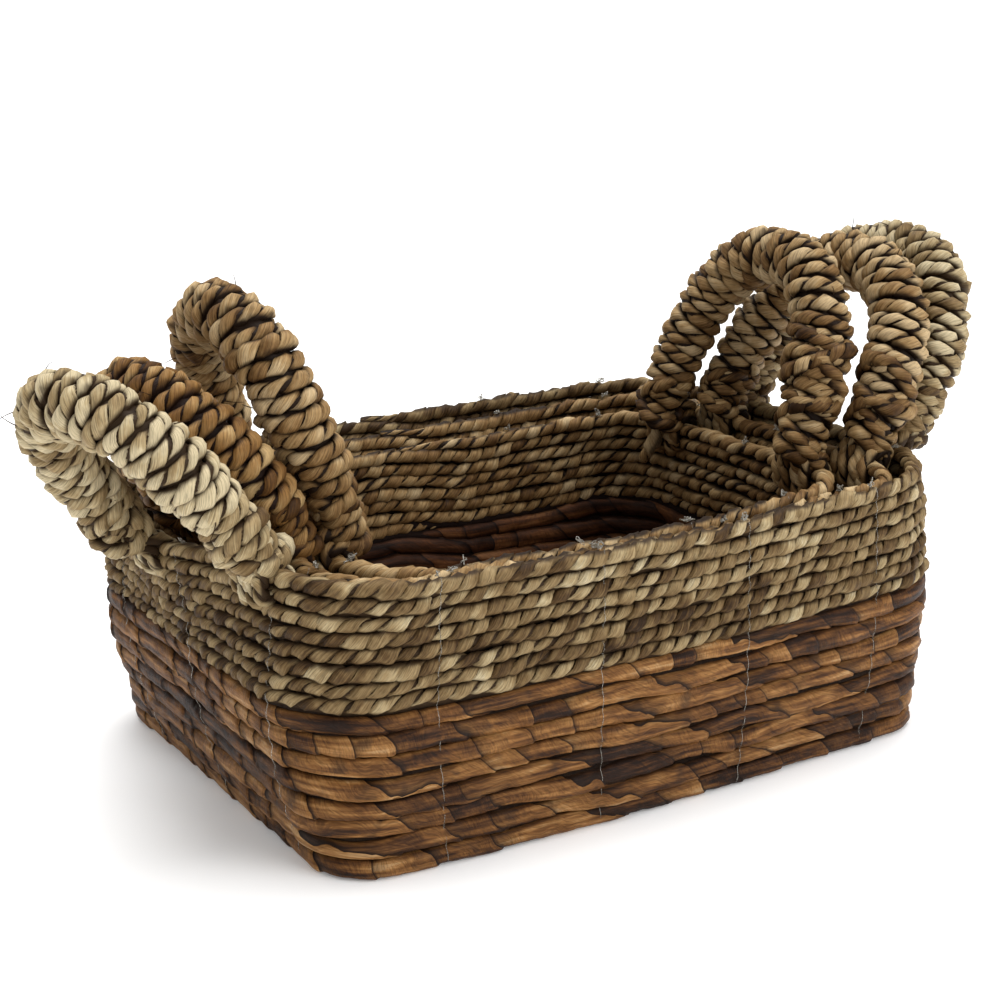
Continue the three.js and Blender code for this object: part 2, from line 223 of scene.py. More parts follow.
def outline(basket, shape, inset, step_half=STEP_HALF, fine=3.0):
    """One row's plan: points with outward normals and their share of the way round, from the coil's
    step on the back, anticlockwise."""
    a, b, r = shape
    bow = basket["bow"]
    spans = []

    def long_side(x0, x1, side):
        x = np.linspace(x0, x1, max(3, int(abs(x1 - x0) / fine)))
        y = side * (b + bow * (1 - (x / (a - r)) ** 2))
        spans.append(np.stack([x, y, 0 * x, 0 * x + side], 1))

    def short_side(side):
        y = np.linspace(side * -(b - r), side * (b - r), max(3, int(2 * (b - r) / fine)))
        spans.append(np.stack([0 * y + side * a, y, 0 * y + side, 0 * y], 1))

    def corner(cx, cy, start):
        t = start + np.linspace(0, math.pi / 2, max(5, int(r * 1.6 / fine)))
        c, s = np.cos(t), np.sin(t)
        spans.append(np.stack([cx + r * c, cy + r * s, c, s], 1))

    long_side(-step_half, -(a - r), 1)
    corner(-(a - r), b - r, math.pi / 2)
    short_side(-1)
    corner(-(a - r), -(b - r), math.pi)
    long_side(-(a - r), a - r, -1)
    corner(a - r, -(b - r), -math.pi / 2)
    short_side(1)
    corner(a - r, b - r, 0)
    long_side(a - r, step_half, 1)
    points = np.concatenate(spans)
    keep = np.concatenate([[True], np.linalg.norm(np.diff(points[:, :2], axis=0), axis=1) > 0.05])
    points = points[keep]
    points[:, :2] -= points[:, 2:4] * inset
    share = lengths(points[:, :2])
    return points, share / share[-1]


def settle(basket, points):
    """Wall points as the basket stands: short walls pulled out at the handles, long rims sagging."""
    p = np.array(points, float)
    x, y, z = p[..., 0], p[..., 1], p[..., 2]
    centre = basket["centre"]
    a, b = basket["half"][1]
    lift = smooth((z - SAG["from_z"]) / SAG["rise"])
    long_wall = smooth((np.abs(y) - 0.8 * b) / (0.2 * b))
    p[..., 2] = z - SAG["drop"] * lift * long_wall * (1 - np.clip(x / a, -1, 1) ** 2)
    # Hand-laid rows rise and fall a little together.
    p[..., 2] += 0.5 * lift * np.sin(x / 31 + y / 47) * np.sin(y / 26 - x / 90)
    p[..., 0] += centre[0]
    p[..., 1] += centre[1]
    if basket["flare"]:
        rise = smooth((z - FLARE["from_z"]) / FLARE["rise"]) ** FLARE["power"]
        fade = smooth((np.abs(x) - FLARE["from_x"]) / FLARE["fade"])
        for side, (out, dip, at) in basket["flare"].items():
            amount = rise * fade * np.exp(-(((p[..., 1] - at) / FLARE["width"]) ** 2)) * (x * side > 0)
            p[..., 0] += side * out * amount
            p[..., 2] -= dip * amount
    return p


def row_path(basket, rows, step, step_half=STEP_HALF, taper=None):
    """One rope through several rows, as columns x, y, z, normal x, normal y, size and share of the way
    round. Each row is (shape, inset, z). The rope climbs to the next row over the step, and its two
    ends taper there when taper is the row pitch."""
    columns = []
    for shape, inset, z in rows:
        points, share = outline(basket, shape, inset, step_half)
        one = np.ones(len(points))
        columns.append(np.stack([*points[:, :2].T, z * one, *points[:, 2:4].T, one, share], 1))
    if taper:
        first, last = columns[0], columns[-1]
        lead = np.linspace(TAPER_SHARE, 0, 9)[:, None]
        start = first[0] + (first[-1] - first[0]) * lead
        end = last[-1] + (last[0] - last[-1]) * lead[::-1]
        for piece, drop in ((start, -1), (end, 1)):
            small = 1 - lead[:, 0] if drop < 0 else 1 - lead[::-1, 0]
            piece[:, 2] += drop * taper / 2 * (1 - small)
            piece[:, 3:5] = (0, 1)
            piece[:, 5] = small
            piece[:, 6] = 0
        columns = [start[:-1], *columns, end[1:]]
    return resample(np.concatenate(columns), step)


# ---------------------------------------------------------------------------------- tubes to meshes
class Tubes:
    """Collects tubes and makes one mesh of them, with what the materials read: "rope" UVs (distance
    along, share round), "wrap" UVs (bark strip count, share round), per-point tone, and how unshaded
    each point is, which the materials turn into painted shade."""

    def __init__(self):
        self.points, self.tone, self.open = [], [], []
        self.corners, self.starts, self.rope, self.wrap = [], [], [], []
        self.count, self.loops = 0, 0

    def add(self, rings, along, tone, openness, wrap=None, closed=False):
        n, sides, _ = rings.shape
        i = np.arange(n if closed else n - 1)[:, None]
        j = np.arange(sides)[None, :]
        k, m = (i + 1) % n, (j + 1) % sides
        quads = np.stack([i * sides + j, i * sides + m, k * sides + m, k * sides + j], -1)
        u = np.append(along, along[-1] + (along[1] - along[0]))
        u_grid = np.stack([u[i] + 0 * j, u[i] + 0 * j, u[i + 1] + 0 * j, u[i + 1] + 0 * j], -1)
        v_grid = np.stack([0 * i + j, 0 * i + j + 1, 0 * i + j + 1, 0 * i + j], -1) / sides
        if wrap is None:
            w_grid = u_grid
        else:
            w_grid = np.stack([wrap[i, j], wrap[i, j + 1], wrap[k, j + 1], wrap[k, j]], -1)
        self.points.append(rings.reshape(-1, 3))
        self.tone.append(np.broadcast_to(tone, (n, sides)).ravel())
        self.open.append(np.broadcast_to(openness, (n, sides)).ravel())
        self._faces(quads.reshape(-1, 4), u_grid, v_grid, w_grid)
        if not closed:
            last = (n - 1) * sides
            caps = np.stack([np.arange(sides)[::-1], last + np.arange(sides)])
            ends = np.stack([np.full(sides, u[0]), np.full(sides, u[n - 1])])
            self._faces(caps, ends, np.zeros_like(ends), ends)
        self.count += n * sides

    def _faces(self, corners, u, v, w):
        self.starts.append(self.loops + np.arange(len(corners)) * corners.shape[1])
        self.corners.append(corners.ravel() + self.count)
        self.rope.append(np.stack([u.ravel(), v.ravel()], 1))
        self.wrap.append(np.stack([w.ravel(), v.ravel()], 1))
        self.loops += corners.size

    def build(self, name, *materials):
        mesh = bpy.data.meshes.new(name)
        points = np.concatenate(self.points) * MM
        mesh.vertices.add(len(points))
        mesh.vertices.foreach_set("co", points.ravel())
        mesh.loops.add(self.loops)
        mesh.loops.foreach_set("vertex_index", np.concatenate(self.corners).astype(np.int32))
        starts = np.concatenate(self.starts).astype(np.int32)
        mesh.polygons.add(len(starts))
        mesh.polygons.foreach_set("loop_start", starts)
        mesh.polygons.foreach_set("use_smooth", np.ones(len(starts), bool))
        for layer, values in (("rope", self.rope), ("wrap", self.wrap)):
            uv = mesh.uv_layers.new(name=layer)
            uv.data.foreach_set("uv", np.concatenate(values).ravel())
        for layer, values in (("tone", self.tone), ("open", self.open)):
            attribute = mesh.attributes.new(layer, "FLOAT", "POINT")
            attribute.data.foreach_set("value", np.concatenate(values))
        for material in materials:
            mesh.materials.append(material)
        mesh.update()
        mesh.validate()
        piece = bpy.data.objects.new(name, mesh)
        bpy.context.scene.collection.objects.link(piece)
        return piece


def round_tube(tubes, path, radius, sides=6, tone=0.5, openness=1.0, closed=False):
    """A plain tube, for thread, fibres and the dark filling inside a rope, which is painted shade."""
    tangent = directions(path, closed)
    helper = np.where(np.abs(tangent[:, 2:3]) > 0.9, [[1.0, 0, 0]], [[0, 0, 1.0]])
    first = unit(np.cross(tangent, helper))
    second = np.cross(tangent, first)
    theta = np.arange(sides) / sides * 2 * math.pi
    around = first[:, None] * np.cos(theta)[None, :, None] + second[:, None] * np.sin(theta)[None, :, None]
    radius = np.broadcast_to(radius, len(path))
    tubes.add(path[:, None] + around * radius[:, None, None], lengths(path), tone, openness, closed=closed)


def twisted(tubes, path, normal, size, rope, rng, tone=0.5, hand=1, closed=False, inside=0.0, ruffle=1.0,
            buried_shade=False, top=0.0):
    """Two plies twisted about a path, with a dark filling that closes the gaps between them as painted
    shade. The rope is darker by "inside" on the face turned away from its normals, and a rope laid on a
    core or among other turns gets painted shade there. Painted shade also darkens each ply towards the
    rope's middle and on the rope's sides, where the next rows would shade them, apart from the upper
    side where "top" is 1. Plies are fullest on the two faces."""
    at = lengths(path)
    tangent = directions(path, closed)
    outward = unit(normal - dot(normal, tangent) * tangent)
    upward = np.cross(outward, tangent)
    lay = rope["lay"]
    turn = hand * 2 * math.pi * at / lay
    if closed:
        total = at[-1] + np.linalg.norm(path[0] - path[-1])
        turn = hand * 2 * math.pi * at / total * max(1, round(total / lay))
    else:
        turn = turn + 0.7 * wander(at, 2.5 * lay, rng) + 2.5 * wander(at, 11 * lay, rng)
    reach = rope["spread"] + rope["depth"]
    theta = np.arange(rope["sides"]) / rope["sides"] * 2 * math.pi
    for ply in range(2):
        angle = (turn + ply * math.pi)[:, None]
        out = np.cos(angle) * outward + np.sin(angle) * upward
        fullness = size * (1 + 0.2 * ruffle * wander(at, 0.36 * lay, rng))
        fullness = fullness * (1 + rope["plump"] * (np.cos(angle[:, 0]) ** 2 - 0.55))
        centre = path + rope["spread"] * size[:, None] * out
        along = directions(centre, closed)
        radial = unit(out - dot(out, along) * along)
        side = np.cross(along, radial)
        fold = 3 * wander(at, 0.9 * lay, rng)[:, None]
        crease = 1 + 0.11 * ruffle * np.cos(3 * theta + fold) + 0.08 * ruffle * np.cos(2 * theta - 2 * fold)
        deep = (rope["depth"] * np.cos(theta) * crease * fullness[:, None])[..., None]
        wide = (rope["width"] * np.sin(theta) * crease * fullness[:, None])[..., None]
        rings = centre[:, None] + radial[:, None] * deep + side[:, None] * wide
        away = np.linalg.norm(rings - path[:, None], axis=2) / (reach * size[:, None])
        shade = tone + rope["leaf_tone"] * wander(at, 0.45 * lay, rng) + 0.2 * wander(at, 90, rng)
        offset = rings - path[:, None]
        inner = -(offset * outward[:, None]).sum(2) / reach
        beside = (offset * upward[:, None]).sum(2) / reach
        beside = np.abs(beside) * (1 - np.reshape(top, (-1, 1)) * (beside > 0))
        shade = shade[:, None] - inside * np.clip(inner + 0.2, 0, 1)
        # Painted shade: darker deep between the plies, and on the sides where the next rows would shade
        # them.
        openness = np.clip((away - 0.3) / 0.7, 0, 1) * (1 - rope["shadow"] * smooth((beside - 0.52) / 0.42))
        # Painted shade on the face turned to the core and to the neighbouring turns.
        if buried_shade:
            openness = openness * (1 - smooth((inner + 0.45) / 0.6))
        tubes.add(rings, at + 1000 * ply, shade, openness, closed=closed)
    # The dark filling between the plies is painted shade.
    round_tube(tubes, path, 0.66 * reach * size, 5, 0.3, 0.0, closed)


def shadow_strip(tubes, path, normal, half_out, half_up):
    """A thin dark strip behind a wall's ropes: painted shade that closes the gaps between the rows."""
    theta = np.arange(4) / 4 * 2 * math.pi
    out = normal[:, None] * (half_out * np.cos(theta))[None, :, None]
    up = np.array([0, 0, half_up]) * np.sin(theta)[None, :, None]
    tubes.add(path[:, None] + out - up, lengths(path), 0.3, 0.0)


def bark(tubes, path, normal, size, thick, pitch, rng, coarse=1):
    """A rope wrapped in flat bark strips: each strip's edge stands a little proud of the next, and the
    strip count at every point is kept for the material. The count's jump is on the rope's underside."""
    at = lengths(path)
    sides = BARK["sides"] // coarse
    tangent = directions(path)
    outward = unit(normal - dot(normal, tangent) * tangent)
    upward = np.cross(outward, tangent)
    widths = 12 + 38 * rng.uniform(0, 1, int(at[-1] / 12) + 4) ** 1.6
    order = np.interp(at, np.concatenate([[0], np.cumsum(widths)]), np.arange(len(widths) + 1))
    slant = 0.95 + 0.9 * wander(at, 55, rng)
    v = np.arange(sides + 1) / sides
    ragged = np.stack([wander(at, 7, rng) for _ in range(5)], 1)
    column = np.minimum((v * 4).astype(int), 3)
    part = smooth(v * 4 - column)
    ragged = ragged[:, column] * (1 - part) + ragged[:, column + 1] * part
    count = order[:, None] - slant[:, None] * v + 0.11 * ragged
    theta = -math.pi / 2 - 2 * math.pi * v[:-1]
    power = BARK["square"]
    half_out, half_up = thick / 2, pitch / 2
    flat = (np.abs(np.cos(theta)) / half_out) ** power + (np.abs(np.sin(theta)) / half_up) ** power
    radius = flat ** (-1 / power)
    edge = count[:, :-1] % 1
    wrinkle = 0.045 * np.stack([wander(at, 3.6, rng) for _ in range(sides)], 1)
    scale = size[:, None] * (1 + BARK["lift"] * (edge - 0.6) + wrinkle)
    ring = outward[:, None] * np.cos(theta)[None, :, None] + upward[:, None] * np.sin(theta)[None, :, None]
    rings = path[:, None] + ring * (radius[None] * scale)[..., None]
    # Painted shade in the grooves above and below each row.
    openness = np.clip(np.abs(np.cos(theta)) * 1.3, 0, 1)
    tubes.add(rings, at, 0.5 + 0.5 * wander(at, 140, rng)[:, None], openness[None], wrap=count)


# ---------------------------------------------------------------------------------- materials
class Nodes:
    """A short way to write a material's node tree."""

    def __init__(self, name):
        self.material = bpy.data.materials.new(name)
        self.material.use_nodes = True
        self.tree = self.material.node_tree
        self.shader = self.tree.nodes["Principled BSDF"]

    def node(self, kind, **settings):
        node = self.tree.nodes.new(kind)
        for key, value in settings.items():
            setattr(node, key, value)
        return node

    def feed(self, socket, value):
        if isinstance(value, bpy.types.NodeSocket):
            self.tree.links.new(value, socket)
        else:
            socket.default_value = value

    def calc(self, operation, *values, clamp=False):
        node = self.node("ShaderNodeMath", operation=operation, use_clamp=clamp)
        for socket, value in zip(node.inputs, values):
            self.feed(socket, value)
        return node.outputs[0]

    def stretch(self, value, low, high, to_low=0.0, to_high=1.0):
        node = self.node("ShaderNodeMapRange", interpolation_type="SMOOTHSTEP")
        for socket, given in zip(node.inputs, (value, low, high, to_low, to_high)):
            self.feed(socket, given)
        return node.outputs[0]

    def mix(self, share, first, second, blend="MIX"):
        node = self.node("ShaderNodeMix", data_type="RGBA", blend_type=blend)
        self.feed(node.inputs[0], share)
        self.feed(node.inputs[6], first)
        self.feed(node.inputs[7], second)
        return node.outputs[2]

    def ramp(self, value, stops, interpolation="LINEAR"):
        node = self.node("ShaderNodeValToRGB")
        node.color_ramp.interpolation = interpolation
        elements = node.color_ramp.elements
        while len(elements) < len(stops):
            elements.new(0.5)
        for element, (position, colour) in zip(elements, stops):
            element.position = position
            element.color = (*colour, 1)
        self.feed(node.inputs[0], value)
        return node.outputs[0]

    def uv(self, name):
        node = self.node("ShaderNodeUVMap", uv_map=name)
        split = self.node("ShaderNodeSeparateXYZ")
        self.feed(split.inputs[0], node.outputs[0])
        return split.outputs[0], split.outputs[1]

    def attribute(self, name):
        return self.node("ShaderNodeAttribute", attribute_name=name).outputs["Fac"]

    def noise(self, x, y, z, scale=1.0, detail=3.0, rough=0.55):
        join = self.node("ShaderNodeCombineXYZ")
        for socket, value in zip(join.inputs, (x, y, z)):
            self.feed(socket, value)
        node = self.node("ShaderNodeTexNoise")
        self.feed(node.inputs["Vector"], join.outputs[0])
        self.feed(node.inputs["Scale"], scale)
        self.feed(node.inputs["Detail"], detail)
        self.feed(node.inputs["Roughness"], rough)
        return node.outputs["Fac"]

    def noise_in_space(self, scale, detail=3.0):
        place = self.node("ShaderNodeTexCoord")
        node = self.node("ShaderNodeTexNoise")
        self.feed(node.inputs["Vector"], place.outputs["Object"])
        self.feed(node.inputs["Scale"], scale)
        self.feed(node.inputs["Detail"], detail)
        return node.outputs["Fac"]

    def random(self, value):
        node = self.node("ShaderNodeTexWhiteNoise", noise_dimensions="1D")
        self.feed(node.inputs["W"], value)
        split = self.node("ShaderNodeSeparateColor")
        self.feed(split.inputs[0], node.outputs["Color"])
        return split.outputs[0], split.outputs[1], split.outputs[2]

    def finish(self, colour, roughness, height, depth):
        self.feed(self.shader.inputs["Base Color"], colour)
        self.feed(self.shader.inputs["Roughness"], roughness)
        bump = self.node("ShaderNodeBump")
        self.feed(bump.inputs["Height"], height)
        bump.inputs["Strength"].default_value = 1.0
        bump.inputs["Distance"].default_value = depth * MM
        self.feed(self.shader.inputs["Normal"], bump.outputs[0])
        return self.material


def grey(value):
    return (value, value, value, 1)


def seagrass_material(name, stops, hollow_shade, sheen=0.15):
    """Dry twisted grass: leaf-long streaks, leaves of several tones, and painted shade in the hollows
    between plies.
    """
    n = Nodes(name)
    along, round_share = n.uv("rope")
    fibre = n.noise(
        n.calc("MULTIPLY", along, 0.09), n.calc("MULTIPLY", round_share, 16.0), along_seed(n, along))
    fine = n.noise(
        n.calc("MULTIPLY", along, 0.3), n.calc("MULTIPLY", round_share, 42.0), 3.0, detail=2.0)
    leaf = n.noise_in_space(170.0, 2.0)
    tone = n.calc("ADD", n.attribute("tone"), n.calc("MULTIPLY", n.calc("SUBTRACT", fibre, 0.5), 0.75))
    tone = n.calc("ADD", tone, n.calc("MULTIPLY", n.calc("SUBTRACT", leaf, 0.5), 0.55), clamp=True)
    colour = n.ramp(tone, stops)
    streak = n.stretch(fine, 0.36, 0.6, 0.6, 1.1)
    colour = n.mix(1.0, colour, n.ramp(streak, ((0, (0, 0, 0)), (1, (1, 1, 1)))), "MULTIPLY")
    # Painted shade: the colour goes to the hollow colour where a point lies deep or beside its neighbours.
    depth = n.stretch(n.attribute("open"), 0.2, 0.86)
    colour = n.mix(depth, (*hollow_shade, 1), colour)
    height = n.calc("ADD", n.calc("MULTIPLY", fibre, 0.7), n.calc("MULTIPLY", fine, 0.6))
    n.shader.inputs["Specular IOR Level"].default_value = sheen
    return n.finish(colour, n.stretch(fibre, 0.2, 0.8, 0.5, 0.72), height, 0.5)


def along_seed(n, along):
    """A value that changes from ply to ply, from the thousands that separate their distances."""
    return n.calc("MULTIPLY", n.calc("FLOOR", n.calc("DIVIDE", along, 1000.0)), 7.3)


def bark_material(name, stops, stain, dark):
    """Flat bark strips: a colour of its own for each, fibres along it, and stains. Painted shade darkens
    each strip's low end and the grooves between rows, with a painted shadow line past each proud edge.
    """
    n = Nodes(name)
    count, round_share = n.uv("wrap")
    strip = n.calc("FLOOR", count)
    edge = n.calc("FRACT", count)
    one, two, three = n.random(strip)
    fibre = n.noise(
        n.calc("MULTIPLY", edge, n.calc("ADD", 9.0, n.calc("MULTIPLY", two, 22.0))),
        n.calc("MULTIPLY", round_share, n.calc("ADD", 3.0, n.calc("MULTIPLY", three, 9.0))),
        n.calc("MULTIPLY", strip, 3.7), detail=5.0, rough=0.65)
    fine = n.noise(
        n.calc("MULTIPLY", edge, 60.0), n.calc("MULTIPLY", round_share, 9.0),
        n.calc("MULTIPLY", strip, 5.1), detail=4.0, rough=0.7)
    blotch = n.noise_in_space(60.0, 4.0)
    along, rope_share = n.uv("rope")
    streak = n.noise(n.calc("MULTIPLY", along, 0.035), n.calc("MULTIPLY", rope_share, 11.0), 1.0, detail=4.0)
    tone = n.calc("ADD", n.calc("MULTIPLY", n.calc("SUBTRACT", fibre, 0.5), 0.6),
                  n.stretch(one, 0.0, 1.0, 0.2, 0.74))
    tone = n.calc("ADD", tone, n.calc("MULTIPLY", n.calc("SUBTRACT", n.attribute("tone"), 0.5), 0.3))
    tone = n.calc("ADD", tone, n.calc("MULTIPLY", n.calc("SUBTRACT", streak, 0.5), 1.9))
    tone = n.calc("ADD", tone, n.calc("MULTIPLY", n.calc("SUBTRACT", blotch, 0.5), 0.8), clamp=True)
    colour = n.ramp(tone, stops)
    colour = n.mix(n.stretch(n.noise_in_space(95.0, 3.0), 0.56, 0.72, 0.0, 0.6), colour, (*stain, 1))
    line = n.ramp(n.stretch(fine, 0.35, 0.62, 0.55, 1.1), ((0, (0, 0, 0)), (1, (1, 1, 1))))
    colour = n.mix(1.0, colour, line, "MULTIPLY")
    # Painted shade: each strip darker towards its low end, under the neighbouring strip's proud edge.
    tucked_shade = n.stretch(edge, 0.0, n.calc("ADD", 0.15, n.calc("MULTIPLY", three, 0.4)), 0.55, 1.0)
    colour = n.mix(tucked_shade, (*dark, 1), colour)
    # Painted shadow: a thin dark line just past each proud edge, which also raises the bump.
    lip_shadow = n.stretch(edge, 0.0, 0.09)
    colour = n.mix(lip_shadow, (*dark, 1), colour)
    # Painted shade in the grooves between rows.
    groove_shade = n.stretch(n.attribute("open"), 0.1, 0.85, 0.05, 1.0)
    colour = n.mix(groove_shade, (*dark, 1), colour)
    height = n.calc("ADD", n.calc("MULTIPLY", fibre, 0.5), n.calc("MULTIPLY", fine, 0.45))
    height = n.calc("ADD", height, n.calc("MULTIPLY", lip_shadow, 0.4))
    n.shader.inputs["Specular IOR Level"].default_value = 0.16
    return n.finish(colour, n.stretch(fibre, 0.2, 0.8, 0.42, 0.68), height, 0.6)


def nylon_material():
    """Clear monofilament: pale and shiny."""
    n = Nodes("clear_nylon")
    glint = n.noise_in_space(900.0, 1.0)
    colour = n.ramp(glint, ((0.3, (0.42, 0.38, 0.3)), (0.7, (0.8, 0.78, 0.72))))
    n.shader.inputs["Transmission Weight"].default_value = 0.7
    n.shader.inputs["IOR"].default_value = 1.5
    return n.finish(colour, n.stretch(glint, 0.3, 0.7, 0.08, 0.25), glint, 0.1)


def cane_material():
    n = Nodes("raw_cane")
    grain = n.noise_in_space(240.0, 4.0)
    colour = n.ramp(grain, ((0.3, (0.16, 0.1, 0.05)), (0.7, (0.34, 0.24, 0.12))))
    return n.finish(colour, n.stretch(grain, 0.3, 0.7, 0.5, 0.7), grain, 0.3)


GREENISH = ((0.0, (0.034, 0.016, 0.005)), (0.2, (0.1, 0.055, 0.02)), (0.42, (0.21, 0.135, 0.058)),
            (0.65, (0.33, 0.235, 0.115)), (0.85, (0.46, 0.355, 0.195)), (1.0, (0.58, 0.48, 0.3)))
TAN = ((0.0, (0.034, 0.014, 0.004)), (0.25, (0.11, 0.053, 0.016)), (0.5, (0.24, 0.135, 0.05)),
       (0.75, (0.38, 0.245, 0.108)), (1.0, (0.53, 0.385, 0.21)))
ORANGE = ((0.0, (0.035, 0.014, 0.003)), (0.3, (0.12, 0.053, 0.013)), (0.6, (0.24, 0.122, 0.036)),
          (0.85, (0.36, 0.21, 0.078)), (1.0, (0.46, 0.31, 0.14)))
BARKS = ((0.0, (0.018, 0.007, 0.003)), (0.15, (0.045, 0.017, 0.006)), (0.34, (0.105, 0.042, 0.012)),
         (0.54, (0.19, 0.08, 0.022)), (0.74, (0.3, 0.14, 0.042)), (0.9, (0.4, 0.205, 0.072)),
         (1.0, (0.47, 0.275, 0.12)))
RED_BARKS = ((0.0, (0.015, 0.005, 0.002)), (0.4, (0.055, 0.018, 0.006)), (0.75, (0.12, 0.043, 0.013)),
             (1.0, (0.19, 0.08, 0.028)))

# The last colour in each seagrass and bark line is its painted shade colour.
MATERIALS = {
    "pale": seagrass_material("pale_seagrass", GREENISH, (0.035, 0.019, 0.008)),
    "tan": seagrass_material("tan_seagrass", TAN, (0.014, 0.006, 0.002)),
    "orange": seagrass_material("orange_seagrass", ORANGE, (0.014, 0.005, 0.002)),
    "bark": bark_material("banana_bark", BARKS, (0.05, 0.026, 0.013), (0.012, 0.005, 0.002)),
    "inner_bark": bark_material("red_banana_bark", RED_BARKS, (0.05, 0.022, 0.012), (0.008, 0.003, 0.002)),
    "nylon": nylon_material(),
    "cane": cane_material(),
}


# ---------------------------------------------------------------------------------- walls
def pinch(share, turn_length, depth):
    """How far the sewing draws a rope in near each stitch, as a factor on its size."""
    away = np.abs((share * STITCHES) % 1 - 0.5) * turn_length / STITCHES
    return 1 - depth * np.exp(-((away / 3.2) ** 2))


def rope_track(basket, path):
    """A wall rope's settled points and its outward normals."""
    points = settle(basket, path[:, :3])
    normal = np.concatenate([path[:, 3:5], np.zeros((len(path), 1))], 1)
    return points, unit(normal)


def perimeter(basket):
    points, _ = outline(basket, shape_at(basket, belt_height(basket)), 0)
    return lengths(points[:, :2])[-1]


def seagrass_wall(name, basket, material, rng):
    pitch = SEAGRASS["pitch"]
    rows = []
    for row in range(basket["turns"]):
        z = belt_height(basket) + pitch * (row + 0.5)
        rows.append((shape_at(basket, z), SEAGRASS["thick"] / 2, z))
    path = row_path(basket, rows, WALL_ROPE["step"], taper=pitch)
    points, normal = rope_track(basket, path)
    at = lengths(points)
    lay = GRASS_LAY
    points = points + normal * (lay["out"] * wander(at, lay["out_every"], rng))[:, None]
    points[:, 2] += lay["up"] * wander(at, lay["up_every"], rng)
    size = path[:, 5] * pinch(path[:, 6], perimeter(basket), 0.16)
    size = size * (1 + lay["size"] * wander(at, lay["size_every"], rng))
    below = (rim_height(basket) - points[:, 2]) / (rim_height(basket) - belt_height(basket))
    looks = WALL_LOOKS[name]
    # Darker towards the belt; and painted light: each wall lighter towards its right end, darker towards its
    # left.
    tone = looks["tone"] - 0.08 * smooth(below) + 0.07 * points[:, 0] / basket["half"][1][0]
    # The rim row is a little fuller, and its upper side is left out of the painted shade on the rope's
    # sides.
    top = (below < 0.75 / basket["turns"]).astype(float)
    size = size * (1 + 0.12 * top)
    tubes = Tubes()
    twisted(tubes, points, normal, np.maximum(size, 0.2), WALL_ROPE, rng, tone, inside=looks["inside"],
            ruffle=1.6, top=top)
    shadow_strip(tubes, points - (0, 0, GRASS_SHADOW_STRIP["drop"]), normal, GRASS_SHADOW_STRIP["half_out"], GRASS_SHADOW_STRIP["half_up"])
    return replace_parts(tubes.build(name + "_seagrass_wall", material), name + "_seagrass_coil")


def banana_wall(name, basket, material, rng):
    rope = basket["banana"]
    rows = []
    for row in range(rope["turns"]):
        z = basket["floor"] + rope["pitch"] * (row + 0.5)
        rows.append((shape_at(basket, z), rope["thick"] / 2, z))
    path = row_path(basket, rows, BARK["step"], taper=rope["pitch"])
    points, normal = rope_track(basket, path)
    at = lengths(points)
    lay = BARK_LAY
    points = points + normal * (lay["out"] * wander(at, lay["out_every"], rng))[:, None]
    lowest = points[:, 2] < basket["floor"] + rope["pitch"]
    points[:, 2] += np.where(lowest, 0, lay["up"]) * wander(at, lay["up_every"], rng)
    size = path[:, 5] * pinch(path[:, 6], perimeter(basket), 0.07)
    size = size * (1.0 + lay["size"] * wander(at, lay["size_every"], rng))
    size = np.minimum(size, np.where(lowest, 1.0, 2.0))
    tubes = Tubes()
    bark(tubes, points, normal, np.maximum(size, 0.2), rope["thick"], rope["pitch"], rng)
    shadow_strip(tubes, points + (0, 0, rope["pitch"] / 2), normal, BARK_SHADOW_STRIP["half_out"], BARK_SHADOW_STRIP["half_up"])
    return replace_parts(tubes.build(name + "_banana_wall", material), name + "_banana_coil")


def base_mat(name, basket, material, rng):
    """A flat coil of bark rope inside the wall's first row."""
    rope = basket["banana"]
    pitch = MAT["pitch"]
    z = basket["floor"] + MAT["middle"]
    a, b, r = shape_at(basket, z)
    rows = []
    inset = rope["thick"] + pitch / 2
    while b - inset > 1.5:
        rows.append(((a - inset, b - inset, min(max(r - inset, 2.0), b - inset - 0.5)), 0, z))
        inset += pitch
    flat = dict(basket, bow=0)
    path = row_path(flat, rows, MAT["step"], step_half=MAT["step_half"])
    points = path[:, :3] + np.array([*basket["centre"], 0])
    normal = unit(np.concatenate([path[:, 3:5], np.zeros((len(path), 1))], 1))
    size = np.full(len(path), MAT["size"])
    tubes = Tubes()
    bark(tubes, points, normal, size, pitch, MAT["height"], rng, coarse=2)
    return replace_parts(tubes.build(name + "_coiled_mat", material), name + "_base_mat")


def foot_place(name, side, foot):
    """Where a handle's front (-1) or back (1) foot stands, in plan."""
    place, _, twist, _, span, _ = HANDLES[name, side]
    turn = math.radians(twist)
    x = place[0] - foot * span / 2 * math.sin(turn)
    y = place[1] + foot * span / 2 * math.cos(turn)
    return np.array([x, y])


